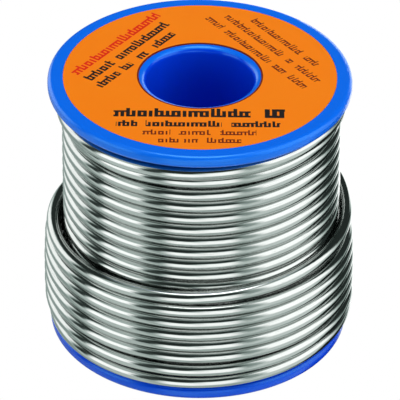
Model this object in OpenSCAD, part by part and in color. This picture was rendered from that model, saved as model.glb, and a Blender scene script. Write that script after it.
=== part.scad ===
// Spool of thick solder wire: a blue spool moulded in two parts that snap together, a paper
// ring on its upper face, and one wire wound in five full layers and a partial sixth.
// Millimetres, +Z up. The spool stands on its lower flange, with the origin at the centre
// of that face and Z along the spindle bore.

/* [Spool] */
// Diameter of both flanges
flange_d = 45; // [44.5:0.1:46]
// Height over both flanges
spool_h = 42.8; // [42.6:0.1:43.2]
// Thickness of each flange
flange_t = 1.95; // [1.8:0.05:2.1]
// Radius of the rounded rim of each flange
rim_r = 0.75; // [0.4:0.05:0.85]
// Diameter of the spindle bore
bore_d = 16; // [15:0.1:16.4]
// Radius of the rounded mouth at each end of the bore
mouth_r = 1.0; // [0.6:0.1:1.2]
// Outer diameter of the cap's inner tube
inner_tube_d = 19.5; // [19:0.1:19.8]
// Outer diameter of the hub tube that the wire is wound on
hub_d = 23.2; // [22.8:0.1:23.2]

/* [Snap joint] */
// Radial play between the two tubes
tube_gap = 0.05; // [0.03:0.01:0.08]
// Height of the snap bead above the base
snap_z = 6; // [5:0.5:12]
// How far the bead stands out of the inner tube
snap_rise = 0.25; // [0.15:0.05:0.3]
// Radius of the bead's section
snap_bead_r = 0.45; // [0.4:0.05:0.5]

/* [Label] */
// Outer diameter of the paper ring
label_d = 40.4; // [39:0.1:41]
// Thickness of the paper, which is also the depth of its seat
label_t = 0.12; // [0.1:0.01:0.2]

/* [Wire] */
// Diameter of the solder wire
wire_d = 2.0; // [1.9:0.05:2.0]
// Turns in the first, third and fifth layers
full_turns = 19; // [16:1:19]
// Radial distance from one full layer to the next
layer_step = 1.795; // [1.78:0.005:1.8]
// Centre radius of the loose sixth layer
outer_coil_r = 22.3; // [21.9:0.1:22.4]
// Turns that lie level in the sixth layer
outer_turns = 7; // [5:1:7]
// Distance between neighbouring turns in the sixth layer
outer_pitch = 2.1; // [2.06:0.01:2.14]

/* [Wire ends] */
// Diameter of the anchor hole in the hub tube
anchor_d = 2.4; // [2.2:0.1:2.6]
// Direction of the anchor hole around the hub, from +X
anchor_angle = 90; // [0:5:355]
// Where the last turn leaves the winding, from +X
end_from = -220; // [-240:5:-200]
// Where the wire is cut off, from +X
end_to = 70; // [40:5:80]
// How far the last turn climbs above where it starts
end_rise = 4.4; // [3:0.1:5]

/* [Hidden] */

flange_r = flange_d / 2;
bore_r = bore_d / 2;
mouth_edge_r = bore_r + mouth_r;
cap_z = spool_h - flange_t;
face_z = spool_h - label_t;
label_gap = 0.05;
seat_r = label_d / 2 + label_gap;
inner_tube_r = inner_tube_d / 2;
hub_bore_r = inner_tube_r + tube_gap;
hub_r = hub_d / 2;
snap_play = 0.05;

wire_r = wire_d / 2;
web_t = 0.5;
slack = 0.02;
first_coil_r = hub_r + wire_r + slack;
first_turn_z = flange_t + wire_r + slack;
anchor_z = cap_z - wire_r - slack;
turn_pitch = (anchor_z - first_turn_z) / (full_turns - 1);
end_z = first_turn_z + outer_turns * outer_pitch;
end_step = 5;
end_sides = 8;

blue = [0.03, 0.28, 0.85];
orange = [1.0, 0.52, 0.08];
tin = [0.78, 0.80, 0.78];

$fn = 96;

// Half section of a flange's plate, lying on z = 0: a bore whose mouth is rounded at the
// lower face, and flat faces out to the rim.
module plate_section(plate_t) {
    translate([mouth_edge_r, 0]) square([seat_r - mouth_edge_r, plate_t]);
    translate([bore_r, mouth_r]) square([mouth_r, plate_t - mouth_r]);
    translate([mouth_edge_r, mouth_r])
        intersection() {
            circle(mouth_r);
            translate([-mouth_r, -mouth_r]) square(mouth_r);
        }
}

// Half section of the rim round the plate, with both outer edges rounded.
module rim_section() {
    translate([seat_r, 0]) square([flange_r - rim_r - seat_r, flange_t]);
    translate([seat_r, rim_r]) square([flange_r - seat_r, flange_t - 2 * rim_r]);
    for (z = [rim_r, flange_t - rim_r])
        translate([flange_r - rim_r, z]) circle(rim_r);
}

// Half section of one of the two telescoping tubes.
module tube_section(inner_r, outer_r) {
    translate([inner_r, flange_t]) square([outer_r - inner_r, cap_z - flange_t]);
}

// Round section of the bead on a wall, or with play, of the groove that it snaps into.
module snap_section(wall_r, play) {
    translate([wall_r + snap_rise - snap_bead_r, snap_z]) circle(snap_bead_r + play);
}

// Lower flange and the hub tube that the wire is wound on, with the hole for the wire's start.
module spool_core() {
    color(blue)
        difference() {
            rotate_extrude()
                difference() {
                    union() {
                        plate_section(flange_t);
                        rim_section();
                        tube_section(hub_bore_r, hub_r);
                    }
                    snap_section(hub_bore_r, snap_play);
                }
            rotate([0, 0, anchor_angle])
                translate([bore_r, 0, anchor_z])
                    rotate([0, 90, 0]) cylinder(h = hub_r, d = anchor_d);
        }
}

// Upper flange, with a seat for the label, and the inner tube that is the spindle bore.
module spool_cap() {
    color(blue)
        rotate_extrude() {
            translate([0, face_z]) mirror([0, 1]) plate_section(face_z - cap_z);
            translate([0, cap_z]) rim_section();
            tube_section(bore_r, inner_tube_r);
            snap_section(inner_tube_r, 0);
        }
}

// Paper ring in its seat on the upper flange.
module face_label() {
    color(orange)
        translate([0, 0, face_z])
            difference() {
                cylinder(h = label_t, d = label_d);
                translate([0, 0, -label_t])
                    cylinder(h = 3 * label_t, r = mouth_edge_r + label_gap);
            }
}

// Outer shape of one wound layer: a round for each turn, joined by a thin web.
module winding(coil_r, bottom_z, turns, pitch) {
    color(tin)
        rotate_extrude() {
            for (i = [0 : turns - 1])
                translate([coil_r, bottom_z + i * pitch]) circle(wire_r);
            translate([coil_r - web_t / 2, bottom_z])
                square([web_t, (turns - 1) * pitch]);
        }
}

// Full layers lie in the grooves of the one below, so each second layer is half a turn
// higher and has one turn less.
module full_layer(n) {
    odd = n % 2;
    winding(
        first_coil_r + (n - 1) * layer_step,
        first_turn_z + (1 - odd) * turn_pitch / 2,
        full_turns - 1 + odd,
        turn_pitch
    );
}

// Level turns of the loose sixth layer.
module outer_layer() {
    winding(outer_coil_r, first_turn_z, outer_turns, outer_pitch);
}

// The wire's inner end, bent inwards through the anchor hole.
module solder_start() {
    color(tin)
        rotate([0, 0, anchor_angle])
            translate([hub_bore_r, 0, anchor_z])
                rotate([0, 90, 0])
                    cylinder(h = first_coil_r - hub_bore_r, d = wire_d);
}

// Point on the wire's surface in its last turn, which climbs more steeply towards its end.
function end_point(angle, side) =
    let (
        share = (angle - end_from) / (end_to - end_from),
        around = side * 360 / end_sides,
        r = outer_coil_r + wire_r * cos(around),
        z = end_z + end_rise * pow(share, 2) + wire_r * sin(around)
    )
    [r * cos(angle), r * sin(angle), z];

// The wire's outer end: the last turn, resting on the sixth layer and cut off square.
module solder_end() {
    angles = [end_from : end_step : end_to];
    rings = len([for (a = angles) a]);
    points = [for (a = angles, s = [0 : end_sides - 1]) end_point(a, s)];
    walls = [
        for (i = [0 : rings - 2], s = [0 : end_sides - 1])
            let (t = (s + 1) % end_sides, a = i * end_sides, b = a + end_sides)
            [a + s, a + t, b + t, b + s]
    ];
    first_cap = [for (s = [end_sides - 1 : -1 : 0]) s];
    last_cap = [for (s = [0 : end_sides - 1]) (rings - 1) * end_sides + s];
    color(tin) polyhedron(points, concat([first_cap, last_cap], walls), convexity = 4);
}

spool_core();
spool_cap();
face_label();
full_layer(1);  // solder_layer_1
full_layer(2);  // solder_layer_2
full_layer(3);  // solder_layer_3
full_layer(4);  // solder_layer_4
full_layer(5);  // solder_layer_5
outer_layer();  // solder_layer_6
solder_start();
solder_end();
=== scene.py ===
"""A spool of thick solder wire, seen against plain white with soft lights round it.

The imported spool, its cap and its label stay as the frame gives them and get their materials
here. The winding is made here as what it is: one round wire, wound in five full layers and a
loose partial sixth. Metres, Z up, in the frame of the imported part.
"""

import math

import bpy
import numpy as np
from mathutils import Matrix, Vector


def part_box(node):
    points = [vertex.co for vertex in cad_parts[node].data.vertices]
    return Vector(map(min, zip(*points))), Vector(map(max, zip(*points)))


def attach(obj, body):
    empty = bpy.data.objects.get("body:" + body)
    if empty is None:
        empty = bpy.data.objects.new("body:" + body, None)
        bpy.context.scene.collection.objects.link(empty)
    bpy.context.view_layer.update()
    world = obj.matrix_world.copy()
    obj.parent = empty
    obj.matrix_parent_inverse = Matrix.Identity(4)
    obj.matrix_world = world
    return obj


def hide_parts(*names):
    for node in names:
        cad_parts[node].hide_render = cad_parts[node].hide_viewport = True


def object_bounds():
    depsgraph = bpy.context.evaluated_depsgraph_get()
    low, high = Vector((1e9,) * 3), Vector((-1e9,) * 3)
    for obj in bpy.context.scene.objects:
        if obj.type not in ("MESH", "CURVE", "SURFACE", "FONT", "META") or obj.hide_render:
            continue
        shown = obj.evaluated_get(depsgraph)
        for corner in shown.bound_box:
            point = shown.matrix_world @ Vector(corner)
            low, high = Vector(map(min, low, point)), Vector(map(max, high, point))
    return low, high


MM = 0.001
TURN = 2 * math.pi
FRONT = 0.75 * TURN


# ---------------------------------------------------------------- camera

CAMERA_DISTANCE = 0.5898
CAMERA_ELEVATION = 33.43
CAMERA_PITCH = 33.48
CAMERA_ROLL = 0.5
CAMERA_SIDE = 0.16 * MM
CAMERA_LENS = 353.1
SENSOR_WIDTH = 36.0
CAMERA_NEAR = 0.01
CAMERA_FAR = 20.0


def make_camera(lo, hi):
    """A long lens, in front of the spool and looking down on it."""
    data = bpy.data.cameras.new("camera")
    data.lens = CAMERA_LENS
    data.sensor_width = SENSOR_WIDTH
    data.clip_start = CAMERA_NEAR
    data.clip_end = CAMERA_FAR
    camera = bpy.data.objects.new("camera", data)
    bpy.context.scene.collection.objects.link(camera)
    elevation = math.radians(CAMERA_ELEVATION)
    middle = (lo.z + hi.z) / 2
    place = Vector((
        CAMERA_SIDE,
        -CAMERA_DISTANCE * math.cos(elevation),
        middle + CAMERA_DISTANCE * math.sin(elevation),
    ))
    tilt = Matrix.Rotation(math.radians(90 - CAMERA_PITCH), 4, "X")
    roll = Matrix.Rotation(math.radians(CAMERA_ROLL), 4, "Z")
    camera.matrix_world = Matrix.Translation(place) @ tilt @ roll
    bpy.context.scene.camera = camera


# ---------------------------------------------------------------- the wire's path

WIRE_R = 1.0 * MM
WIND_PITCH = 2.016 * MM
FULL_LAYERS = 5
# How far the fifth layer's middle lies towards +X, and the share that the sixth loses.
LEAN = 0.345 * MM
LEAN_LOST = 0.6
# Rings of the tube's mesh in one turn.
HIDDEN_RINGS = 40
SHOWN_RINGS = 96

# The wire's start, from the anchor hole: number of rings, and how far its bend reaches
# sideways as a multiple of how far it reaches outwards.
START_RINGS = 12
START_SWEEP = 1.3

# Turns are counted from each layer's first pass across the front.
LAYER_LAPS = 18
DOWN_FROM = -0.5
DOWN_TO = 17.7
UP_FROM = -0.3
UP_TO = 17.5
STEP_OUT_AT = 17.45
STEP_OUT_TURNS = 0.25
CROSSING_TURNS = 0.34
CROSSING_RISE = 0.2 * MM
TOP_FRONT_Z = 38.86 * MM

# The fifth layer's top turn bulges, at turn 0, and its first two turns are lifted: how far,
# at which turn, and over how many turns.
TOP_TURN_BULGE = 0.95 * MM
TOP_BULGE_WIDTH = 0.42
TOP_TURN_LIFT = 0.62 * MM
TOP_LIFT_AT = 0.15
TOP_LIFT_WIDTH = 0.17
SECOND_TURN_LIFT = 0.3 * MM
SECOND_LIFT_AT = 0.9
SECOND_LIFT_WIDTH = 0.38

# Small waves in the height of the fifth and sixth layers: their size, and for each wave its
# share of that, its number of waves in a turn, and its shift in radians. They set in after
# WOBBLE_FROM turns of the whole winding, counted from +X, over the next WOBBLE_EASE turns.
WOBBLE = 0.03 * MM
WAVES = [(1.0, 2.7, 0.0), (0.7, 1.31, 1.0)]
WOBBLE_FROM = 73
WOBBLE_EASE = 0.5

# The length of the free end that the cutters pinched, and the rings along it.
PINCH = 1.6 * MM
PINCH_RINGS = 8

# The loose sixth layer: turns counted from the fifth layer's last pass across the front,
# and the wire's height and radius there in millimetres.
OUTER_KNOTS = [
    (0.45, 4.34, 19.8),
    (0.56, 3.05, 20.7),
    (0.75, 2.97, 22.0),
    (1, 3.2, 22.2),
    (1.25, 4.1, 22.25),
    (2, 5.6, 22.5),
    (3, 8.0, 22.5),
    (4, 10.0, 22.5),
    (5, 12.0, 22.5),
    (6, 14.05, 22.4),
    (7, 16.05, 22.3),
    (7.75, 17.4, 22.1),
    (8, 18.25, 22.0),
    (8.245, 19.9, 22.0),
    (8.31, 20.9, 22.0),
    (8.44, 21.9, 21.9),
]


def smooth(t):
    """Eases from 0 to 1 as t goes from 0 to 1."""
    t = np.clip(t, 0, 1)
    return t * t * (3 - 2 * t)


def through(knots, values, at):
    """Smooth curve through values at knots, with no overshoot, read at the given places."""
    knots, values = np.array(knots, float), np.array(values, float)
    steps = np.diff(values) / np.diff(knots)
    slopes = np.concatenate([[steps[0]], (steps[1:] + steps[:-1]) / 2, [steps[-1]]])
    i = np.clip(np.searchsorted(knots, at) - 1, 0, len(knots) - 2)
    width = knots[i + 1] - knots[i]
    t = (at - knots[i]) / width
    return (
        (2 * t**3 - 3 * t**2 + 1) * values[i]
        + (t**3 - 2 * t**2 + t) * width * slopes[i]
        + (3 * t**2 - 2 * t**3) * values[i + 1]
        + (t**3 - t**2) * width * slopes[i + 1]
    )


def layer_sizes():
    """Centre radius of each full layer, and the lowest and highest place of a turn."""
    radii = []
    for n in range(1, FULL_LAYERS + 1):
        radii.append(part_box(f"solder_layer_{n}")[1].x - WIRE_R)
    lo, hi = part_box("solder_layer_1")
    return radii, lo.z + WIRE_R, hi.z - WIRE_R


def start_stretch(radii, top):
    """From the anchor hole in the hub, outwards and round into the first turn."""
    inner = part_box("solder_start")[0].y
    t = np.linspace(0, 1, START_RINGS)
    bend = radii[0] - inner
    angle = TURN / 4 + START_SWEEP * bend / radii[0] * (1 - np.cos(t * TURN / 4))
    radius = inner + bend * np.sin(t * TURN / 4)
    return angle, radius, np.full(len(t), top), np.zeros(len(t))


def crossings(t):
    """Number of times that a turn has crossed over at the back, up to place t."""
    past = t - 0.5
    whole = np.round(past)
    return whole + smooth((past - whole) / CROSSING_TURNS + 0.5)


def down_layer(rings, begin, last):
    """Turns that follow the rising grooves below them and cross two grooves down behind."""
    end = STEP_OUT_AT if last else DOWN_TO
    t = np.linspace(begin, end, int((end - begin) * rings))
    height = TOP_FRONT_Z + WIND_PITCH * (t - 2 * crossings(t))
    across = crossings(t) - np.round(t - 0.5)
    bulge = CROSSING_RISE * 4 * across * (1 - across)
    if last:
        bulge += TOP_TURN_BULGE * np.exp(-((t / TOP_BULGE_WIDTH) ** 4))
        second = (t - SECOND_LIFT_AT) / SECOND_LIFT_WIDTH
        height += SECOND_TURN_LIFT * np.exp(-(second**4))
        first = (t - TOP_LIFT_AT) / TOP_LIFT_WIDTH
        height += TOP_TURN_LIFT * np.exp(-(first**2))
    return t, height, bulge


def up_layer(rings, bottom):
    """Turns that rise evenly in the grooves of the layer below."""
    t = np.linspace(UP_FROM, UP_TO, int((UP_TO - UP_FROM) * rings))
    return t, bottom + WIND_PITCH * (t - UP_FROM), 0 * t


def full_layers(radii, bottom, top, begin):
    """Five layers that go down, up, down, up and down between the flanges."""
    angles, places, heights, leans = [], [], [], []
    laps = 0
    for n, radius in enumerate(radii):
        last = n == FULL_LAYERS - 1
        rings = SHOWN_RINGS if last else HIDDEN_RINGS
        if n % 2 == 0:
            t, height, bulge = down_layer(rings, DOWN_FROM if n else begin, last)
        else:
            t, height, bulge = up_layer(rings, bottom)
        t, height, bulge = t[:-1], height[:-1], bulge[:-1]
        if last:
            climb = np.zeros(len(t))
            step = 0
        else:
            climb = smooth((t - t[-1]) / STEP_OUT_TURNS + 1)
            step = radii[n + 1] - radius
        places.append(radius + bulge + climb * step)
        heights.append(np.clip(height, bottom, top))
        angles.append(FRONT + (laps + t) * TURN)
        leans.append(LEAN * (n + climb) / (FULL_LAYERS - 1))
        laps += LAYER_LAPS
    return [np.concatenate(x) for x in (angles, places, heights, leans)], laps


def outer_layer(laps):
    """The loose sixth layer, from the foot of the fifth up to the wire's free end."""
    turns, heights, radii = zip(*OUTER_KNOTS)
    first, last = turns[0], turns[-1]
    pinch = last - PINCH / (radii[-1] * MM * TURN)
    t = np.linspace(first, pinch, int((last - first) * SHOWN_RINGS))
    t = np.concatenate([t[:-1], np.linspace(pinch, last, PINCH_RINGS)])
    height = through(turns, heights, t) * MM
    radius = through(turns, radii, t) * MM
    lean = LEAN * (1 - LEAN_LOST * smooth(t - first))
    return FRONT + (laps - 1 + t) * TURN, radius, height, lean


def wire_path():
    """Every point on the wire's centre line, from the anchor hole to the free end."""
    radii, bottom, top = layer_sizes()
    start = start_stretch(radii, top)
    begin = (start[0][-1] - FRONT) / TURN
    layers, laps = full_layers(radii, bottom, top, begin)
    outer = outer_layer(laps)
    angle, radius, height, lean = (
        np.concatenate([a[:-1], b, c]) for a, b, c in zip(start, layers, outer)
    )
    shown = smooth((angle / TURN - WOBBLE_FROM) / WOBBLE_EASE)
    waves = sum(share * np.sin(rate * angle + shift) for share, rate, shift in WAVES)
    height = height + WOBBLE * shown * waves
    return np.stack([radius * np.cos(angle) + lean, radius * np.sin(angle), height], 1)


# ---------------------------------------------------------------- the wire's mesh

WIRE_SIDES = 16
# How much wider and how much flatter the wire is at the pinched end.
PINCH_WIDER = 0.12
PINCH_FLATTER = 0.75


def path_length(path):
    """Distance along the path to each of its points."""
    steps = np.linalg.norm(np.diff(path, axis=0), axis=1)
    return np.concatenate([[0], np.cumsum(steps)])


def make_wire(material):
    """One round tube along the whole path, pinched flat where the cutters left its end."""
    path = wire_path()
    along = path_length(path)
    tangent = np.gradient(path, axis=0)
    tangent /= np.linalg.norm(tangent, axis=1)[:, None]
    side = np.cross(tangent, [0, 0, 1])
    side /= np.linalg.norm(side, axis=1)[:, None]
    up = np.cross(side, tangent)
    round_angle = np.arange(WIRE_SIDES) / WIRE_SIDES * TURN
    ring = np.stack([np.cos(round_angle), np.sin(round_angle)], 1)
    pinched = smooth(1 + (along - along[-1]) / PINCH)[:, None, None]
    points = (
        path[:, None]
        + WIRE_R * (1 + PINCH_WIDER * pinched) * ring[None, :, :1] * side[:, None]
        + WIRE_R * (1 - PINCH_FLATTER * pinched) * ring[None, :, 1:] * up[:, None]
    )
    count = len(path)
    a = np.arange(count - 1)[:, None] * WIRE_SIDES
    s = np.arange(WIRE_SIDES)[None, :]
    t = (s + 1) % WIRE_SIDES
    quads = np.stack([a + s, a + t, a + t + WIRE_SIDES, a + s + WIRE_SIDES], -1)
    faces = quads.reshape(-1, 4).tolist()
    faces.append(list(range(WIRE_SIDES))[::-1])
    faces.append([(count - 1) * WIRE_SIDES + i for i in range(WIRE_SIDES)])
    mesh = bpy.data.meshes.new("solder_wire")
    mesh.from_pydata(points.reshape(-1, 3).tolist(), [], faces)
    mesh.polygons.foreach_set("use_smooth", [True] * (len(faces) - 2) + [False] * 2)
    drawn = mesh.attributes.new("drawn", "FLOAT_VECTOR", "POINT")
    marks = np.empty((count, WIRE_SIDES, 3), np.float32)
    marks[:, :, :2] = ring[None]
    marks[:, :, 2] = along[:, None]
    drawn.data.foreach_set("vector", marks.ravel())
    mesh.materials.append(material)
    mesh.validate()
    wire = bpy.data.objects.new("solder_wire", mesh)
    bpy.context.scene.collection.objects.link(wire)
    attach(wire, "root")
    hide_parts("solder_start", "solder_end")
    for n in range(1, FULL_LAYERS + 2):
        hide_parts(f"solder_layer_{n}")


# ---------------------------------------------------------------- materials

class Nodes:
    """Short calls for building the nodes of a material or of the world."""

    def __init__(self, owner):
        owner.use_nodes = True
        self.owner = owner
        self.tree = owner.node_tree
        self.shader = self.tree.nodes.get("Principled BSDF")

    def add(self, kind, **settings):
        node = self.tree.nodes.new(kind)
        for key, value in settings.items():
            setattr(node, key, value)
        return node

    def link(self, value, socket):
        """Joins a socket to another, or sets it to a plain value."""
        if isinstance(value, bpy.types.NodeSocket):
            self.tree.links.new(value, socket)
        else:
            socket.default_value = value

    def math(self, operation, a, b=0.0, c=0.0):
        node = self.add("ShaderNodeMath", operation=operation)
        for value, socket in zip((a, b, c), node.inputs):
            self.link(value, socket)
        return node.outputs[0]

    def mix(self, share, a, b):
        node = self.add("ShaderNodeMix", data_type="RGBA")
        self.link(share, node.inputs["Factor"])
        self.link(a, node.inputs["A"])
        self.link(b, node.inputs["B"])
        return node.outputs["Result"]

    def noise(self, vector, scale, detail, rough=0.5):
        node = self.add("ShaderNodeTexNoise")
        self.link(vector, node.inputs["Vector"])
        node.inputs["Scale"].default_value = scale
        node.inputs["Detail"].default_value = detail
        node.inputs["Roughness"].default_value = rough
        return node.outputs["Fac"]

    def remap(self, value, low, high):
        node = self.add("ShaderNodeMapRange")
        self.link(value, node.inputs["Value"])
        node.inputs["To Min"].default_value = low
        node.inputs["To Max"].default_value = high
        return node.outputs["Result"]

    def stretch(self, vector, scale):
        node = self.add("ShaderNodeMapping")
        self.link(vector, node.inputs["Vector"])
        node.inputs["Scale"].default_value = scale
        return node.outputs["Vector"]

    def place(self):
        return self.add("ShaderNodeTexCoord").outputs["Object"]

    def bump(self, height, distance):
        node = self.add("ShaderNodeBump")
        node.inputs["Distance"].default_value = distance
        node.inputs["Strength"].default_value = 1.0
        self.link(height, node.inputs["Height"])
        self.link(node.outputs["Normal"], self.shader.inputs["Normal"])


TIN_DULL = (0.45, 0.475, 0.46, 1)
TIN_BRIGHT = (0.54, 0.565, 0.55, 1)
TIN_WORN = (0.30, 0.32, 0.31, 1)
WORN_ABOVE = 0.62
WORN_SHARE = 0.6
TIN_ROUGHNESS = 0.05, 0.14
TIN_RELIEF = 0.004 * MM


def solder_material():
    """Bright tin wire, with fine relief and duller marks drawn out along its length."""
    n = Nodes(bpy.data.materials.new("tin_solder"))
    drawn = n.add("ShaderNodeAttribute", attribute_name="drawn").outputs["Vector"]
    streaks = n.noise(n.stretch(drawn, (3.0, 3.0, 60.0)), scale=4.0, detail=4.0, rough=0.6)
    patches = n.noise(n.stretch(drawn, (0.6, 0.6, 90.0)), scale=1.0, detail=3.0)
    clean = n.mix(patches, TIN_DULL, TIN_BRIGHT)
    worn = n.math("MULTIPLY", n.math("GREATER_THAN", streaks, WORN_ABOVE), WORN_SHARE)
    n.link(n.mix(worn, clean, TIN_WORN), n.shader.inputs["Base Color"])
    n.link(n.remap(streaks, *TIN_ROUGHNESS), n.shader.inputs["Roughness"])
    n.shader.inputs["Metallic"].default_value = 1.0
    n.bump(streaks, TIN_RELIEF)
    return n.owner


CAP_BLUES = (0.002, 0.155, 0.94, 1), (0.004, 0.172, 0.99, 1)
# Painted shade: the core's blues are darker copies of the cap's, for the lower flange that lies in
# the winding's shade.
CORE_PAINTED_SHADE_BLUES = (0.001, 0.062, 0.84, 1), (0.002, 0.074, 0.90, 1)
# Painted shade: a deeper blue inside BORE_EDGE, where the bore lies in shade.
BORE_PAINTED_SHADE_BLUE = (0.001, 0.062, 0.86, 1)
BORE_EDGE = 8.25 * MM
PLASTIC_ROUGHNESS = 0.14, 0.26
PLASTIC_RELIEF = 0.003 * MM
PLASTIC_TINT = (0.22, 0.8, 1.0, 1)


def plastic_material(name, blues):
    """Glossy blue moulded polystyrene with fine scuffs, and painted shade that makes it a deeper
    blue in the bore.
    """
    n = Nodes(bpy.data.materials.new(name))
    place = n.place()
    flow = n.noise(place, scale=140.0, detail=3.0)
    fine = n.stretch(place, (900.0, 900.0, 2500.0))
    scuffs = n.noise(fine, scale=1.0, detail=3.0, rough=0.7)
    flat = n.add("ShaderNodeVectorMath", operation="MULTIPLY")
    n.link(place, flat.inputs[0])
    flat.inputs[1].default_value = (1, 1, 0)
    radius = n.add("ShaderNodeVectorMath", operation="LENGTH")
    n.link(flat.outputs[0], radius.inputs[0])
    # Painted shade: the bore gets the deeper blue.
    bore_shade_mask = n.math("LESS_THAN", radius.outputs["Value"], BORE_EDGE)
    n.link(n.mix(bore_shade_mask, n.mix(flow, *blues), BORE_PAINTED_SHADE_BLUE), n.shader.inputs["Base Color"])
    n.link(n.remap(scuffs, *PLASTIC_ROUGHNESS), n.shader.inputs["Roughness"])
    n.shader.inputs["IOR"].default_value = 1.5
    n.shader.inputs["Specular IOR Level"].default_value = 0.75
    n.shader.inputs["Specular Tint"].default_value = PLASTIC_TINT
    n.bump(scuffs, PLASTIC_RELIEF)
    return n.owner


BLACK_INK = (0.012, 0.010, 0.010, 1)
BROWN_INK = (0.16, 0.012, 0.003, 1)
RED_INK = (0.80, 0.018, 0.004, 1)

# Printed lines: direction, distance from the centre, height of a mark, distance between
# strokes, share of it that a stroke fills, ink, and the first and last place of each word
# along the line. Millimetres and degrees.
PRINTED_LINES = [
    (55, 14.6, 1.75, 0.68, 0.55, RED_INK, [(-10.5, 10.5)]),
    (55, 12.0, 1.7, 0.66, 0.60, BLACK_INK, [(-10.6, -4.6), (-3.2, 9.2)]),
    (55, 9.6, 1.6, 0.66, 0.60, BLACK_INK, [(-11.2, -6.4), (-5.2, -3.2), (-1.6, 0.6), (2.6, 7.4)]),
    (-54, 15.3, 1.35, 0.52, 0.42, BROWN_INK, [(-8.4, 3.6), (4.8, 7.6)]),
    (-54, 12.7, 1.35, 0.52, 0.42, BROWN_INK, [(-11.6, 2.6), (3.8, 4.8), (6.0, 11.4)]),
    (-54, 10.1, 1.35, 0.52, 0.42, BROWN_INK, [(-12.8, -9.2), (-8.0, 2.8), (4.0, 6.6), (7.8, 11.6)]),
    (0, -11.5, 2.3, 0.82, 0.66, BLACK_INK, [(-12.5, 7.4)]),
    (0, -11.6, 3.3, 1.05, 0.70, BLACK_INK, [(9.45, 12.4)]),
    (0, -14.1, 1.6, 0.62, 0.64, BLACK_INK, [(-12.1, -9.0), (-7.8, 3.2), (4.6, 11.7)]),
    (0, -16.3, 1.35, 0.54, 0.45, BROWN_INK, [(-8.2, -4.2), (-3.0, 1.6), (3.0, 8.2)]),
    (0, -18.4, 1.35, 0.54, 0.45, BROWN_INK, [(-6.1, -3.0), (-2.2, -0.2), (0.8, 6.0)]),
]


# Heights within a line, from 0 at its foot to 1 at its head: the head of a short stroke,
# the bars that join strokes, and half of a bar's thickness.
SHORT_HEAD = 0.72
LOW_BAR = 0.1
HIGH_BAR = 0.62
HALF_BAR = 0.1
# Share of the strokes that are short, and share that each kind of bar joins to the next.
SHORT_SHARE = 0.72
JOINED_SHARE = 0.5


def printed_line(n, x, y, angle, base, height, pitch, share, words):
    """Mask of one line of upright strokes, joined here and there: print, but not letters."""
    turn = math.radians(angle)
    cos, sin = math.cos(turn), math.sin(turn)
    along = n.math("ADD", n.math("MULTIPLY", x, cos), n.math("MULTIPLY", y, sin))
    across = n.math("SUBTRACT", n.math("MULTIPLY", y, cos), n.math("MULTIPLY", x, sin))
    level = n.math("DIVIDE", n.math("SUBTRACT", across, base), height)
    cell = n.math("DIVIDE", along, pitch)
    lot = n.add("ShaderNodeTexWhiteNoise", noise_dimensions="1D")
    n.link(n.math("FLOOR", cell), lot.inputs["W"])
    lots = n.add("ShaderNodeSeparateColor")
    n.link(lot.outputs["Color"], lots.inputs[0])
    tall = n.math("GREATER_THAN", lot.outputs["Value"], SHORT_SHARE)
    top = n.math("MULTIPLY_ADD", tall, 1 - SHORT_HEAD, SHORT_HEAD)
    stroke = n.math("LESS_THAN", n.math("FRACT", cell), share)
    over_foot = n.math("GREATER_THAN", level, 0.0)
    within = n.math("MULTIPLY", over_foot, n.math("LESS_THAN", level, top))
    upright = n.math("MULTIPLY", stroke, within)
    low_bar = n.math("COMPARE", level, LOW_BAR, HALF_BAR)
    low = n.math("MULTIPLY", low_bar, n.math("GREATER_THAN", lots.outputs[0], JOINED_SHARE))
    high_bar = n.math("COMPARE", level, HIGH_BAR, HALF_BAR)
    high = n.math("MULTIPLY", high_bar, n.math("LESS_THAN", lots.outputs[1], JOINED_SHARE))
    mark = n.math("MAXIMUM", upright, n.math("MAXIMUM", low, high))
    total = 0.0
    for first, last in words:
        word = n.math("COMPARE", along, (first + last) / 2, (last - first) / 2)
        total = n.math("ADD", total, word)
    return n.math("MULTIPLY", mark, total)


LABEL_ORANGES = (1.0, 0.215, 0.002, 1), (1.0, 0.245, 0.004, 1)
# Radius of the painted shadow, a dark line round the bore where the label ends, in millimetres.
LABEL_SHADOW_EDGE = 9.3
PAPER_ROUGHNESS = 0.42, 0.60
PAPER_RELIEF = 0.004 * MM


def label_material():
    """Orange paper, printed with rows of plain marks, with a painted shadow as a dark line round
    the bore.
    """
    n = Nodes(bpy.data.materials.new("printed_paper"))
    place = n.place()
    apart = n.add("ShaderNodeSeparateXYZ")
    n.link(place, apart.inputs[0])
    x = n.math("DIVIDE", apart.outputs[0], MM)
    y = n.math("DIVIDE", apart.outputs[1], MM)
    tint = n.noise(place, scale=160.0, detail=3.0)
    colour = n.mix(tint, *LABEL_ORANGES)
    for *line, ink, words in PRINTED_LINES:
        mask = printed_line(n, x, y, *line, words)
        colour = n.mix(mask, colour, ink)
    squares = n.math("ADD", n.math("MULTIPLY", x, x), n.math("MULTIPLY", y, y))
    radius = n.math("SQRT", squares)
    # Painted shadow: a dark brown ring round the bore where the label's edge meets the mouth.
    colour = n.mix(n.math("LESS_THAN", radius, LABEL_SHADOW_EDGE), colour, BROWN_INK)
    n.link(colour, n.shader.inputs["Base Color"])
    fibres = n.noise(place, scale=5200.0, detail=3.0, rough=0.7)
    n.link(n.remap(fibres, *PAPER_ROUGHNESS), n.shader.inputs["Roughness"])
    n.shader.inputs["Specular IOR Level"].default_value = 0.1
    n.bump(fibres, PAPER_RELIEF)
    return n.owner


FLOOR_GREY = (0.68, 0.68, 0.68, 1)


def floor_material():
    """Plain light grey floor."""
    n = Nodes(bpy.data.materials.new("grey_table"))
    n.shader.inputs["Base Color"].default_value = FLOOR_GREY
    n.shader.inputs["Roughness"].default_value = 0.9
    n.shader.inputs["Specular IOR Level"].default_value = 0.0
    return n.owner


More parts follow.
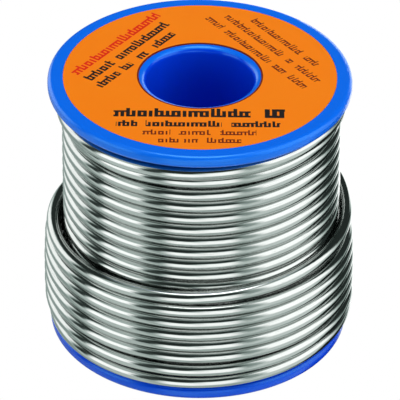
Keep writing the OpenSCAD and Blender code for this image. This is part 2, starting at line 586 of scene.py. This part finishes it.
def dress(name, material):
    """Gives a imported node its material."""
    mesh = bpy.data.objects[name].data
    mesh.materials.clear()
    mesh.materials.append(material)


# ---------------------------------------------------------------- studio

FLOOR_SIZE = 6.0
WHITE = (1, 1, 1, 1)

# Brightness of the dark room, and of the pale surface that reflections show below the
# horizon. Light weaker than FULL_WHITE is tinted, the more so the weaker it is.
ROOM = 0.04
TABLE = 0.68
FULL_WHITE = 1.5
DIM_TINT = (0.74, 1.0, 0.92, 1)

# What the spool has around it: first and last direction from the front, first and last
# direction from the horizon, width of the soft edge (all degrees), and brightness. The dark
# ones are black cards. Later cards lie over earlier ones.
CARDS = [
    (-190, 190, -100, -6, 10, TABLE),
    (-190, 190, 60, 100, 12, 0.45),
    (-190, 190, 74, 110, 8, 5.1),
    (-100, -42, -70, -12, 14, 0.88),
    (36, 112, -46, 8, 14, 1.05),
    (-27, 1, -44, 7, 14, 1.85),
    (-2, 29, -36, 21, 18, 1.85),
    (-45, -31, -14, 30, 8, 0.07),
    (-88, -46, 20, 60, 14, 0.75),
    (-83, -47, -14, 28, 10, 1.95),
    (-101, -86, -10, 44, 6, 0.05),
    (-165, -103, -62, -16, 12, 0.5),
    (-156, -101, -8, 30, 12, 1.7),
    (33, 48, -2, 58, 12, 0.55),
    (46, 106, 3, 60, 12, 1.95),
    (96, 165, -58, -16, 12, 0.02),
    (140, 190, -34, 16, 10, 1.9),
]


def edge(n, value, middle, half, soft):
    """1 within half of the middle, easing to 0 over a soft edge."""
    node = n.add("ShaderNodeMapRange", interpolation_type="SMOOTHSTEP")
    n.link(n.math("ABSOLUTE", n.math("SUBTRACT", value, middle)), node.inputs["Value"])
    node.inputs["From Min"].default_value = half + soft / 2
    node.inputs["From Max"].default_value = half - soft / 2
    return node.outputs["Result"]


def make_surroundings():
    """A dark room with soft lights and dark cards round the spool, all in the world's shader.

    The camera itself sees plain white instead.
    """
    world = bpy.data.worlds.new("studio")
    bpy.context.scene.world = world
    n = Nodes(world)
    apart = n.add("ShaderNodeSeparateXYZ")
    n.link(n.add("ShaderNodeTexCoord").outputs["Generated"], apart.inputs[0])
    x, y, z = apart.outputs
    around = n.math("DEGREES", n.math("ARCTAN2", x, n.math("MULTIPLY", y, -1.0)))
    above = n.math("DEGREES", n.math("ARCSINE", z))
    light = ROOM
    for first, last, low, high, soft, level in CARDS:
        across = edge(n, around, (first + last) / 2, (last - first) / 2, soft)
        upward = edge(n, above, (low + high) / 2, (high - low) / 2, soft)
        mask = n.math("MULTIPLY", across, upward)
        change = n.math("MULTIPLY", mask, n.math("SUBTRACT", level, light))
        light = n.math("ADD", light, change)
    room = n.tree.nodes["Background"]
    share = n.math("DIVIDE", light, FULL_WHITE)
    n.link(n.mix(share, DIM_TINT, WHITE), room.inputs["Color"])
    n.link(light, room.inputs["Strength"])
    backdrop = n.add("ShaderNodeBackground")
    backdrop.inputs["Color"].default_value = WHITE
    mix = n.add("ShaderNodeMixShader")
    n.link(n.add("ShaderNodeLightPath").outputs["Is Camera Ray"], mix.inputs[0])
    n.link(room.outputs[0], mix.inputs[1])
    n.link(backdrop.outputs[0], mix.inputs[2])
    n.link(mix.outputs[0], n.tree.nodes["World Output"].inputs[0])
    bpy.context.scene.view_settings.view_transform = "Standard"


def make_floor():
    """A floor that only bounces light: the camera and the reflections don't show it."""
    half = FLOOR_SIZE / 2
    mesh = bpy.data.meshes.new("floor")
    corners = [(-half, -half, 0), (half, -half, 0), (half, half, 0), (-half, half, 0)]
    mesh.from_pydata(corners, [], [(0, 1, 2, 3)])
    mesh.materials.append(floor_material())
    floor = bpy.data.objects.new("floor", mesh)
    floor.visible_glossy = False
    floor.visible_camera = False
    bpy.context.scene.collection.objects.link(floor)


# ---------------------------------------------------------------- the scene

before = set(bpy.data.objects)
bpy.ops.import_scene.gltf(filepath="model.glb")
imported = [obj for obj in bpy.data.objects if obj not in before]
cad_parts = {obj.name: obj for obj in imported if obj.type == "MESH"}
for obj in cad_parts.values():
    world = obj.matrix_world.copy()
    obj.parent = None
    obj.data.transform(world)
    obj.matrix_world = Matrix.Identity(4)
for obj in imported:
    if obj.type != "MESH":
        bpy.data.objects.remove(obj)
cad_lo, cad_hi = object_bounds()
make_camera(cad_lo, cad_hi)
make_wire(solder_material())
dress("spool_core", plastic_material("core_painted_shade_plastic", CORE_PAINTED_SHADE_BLUES))
dress("spool_cap", plastic_material("cap_blue_plastic", CAP_BLUES))
dress("face_label", label_material())
make_surroundings()
make_floor()
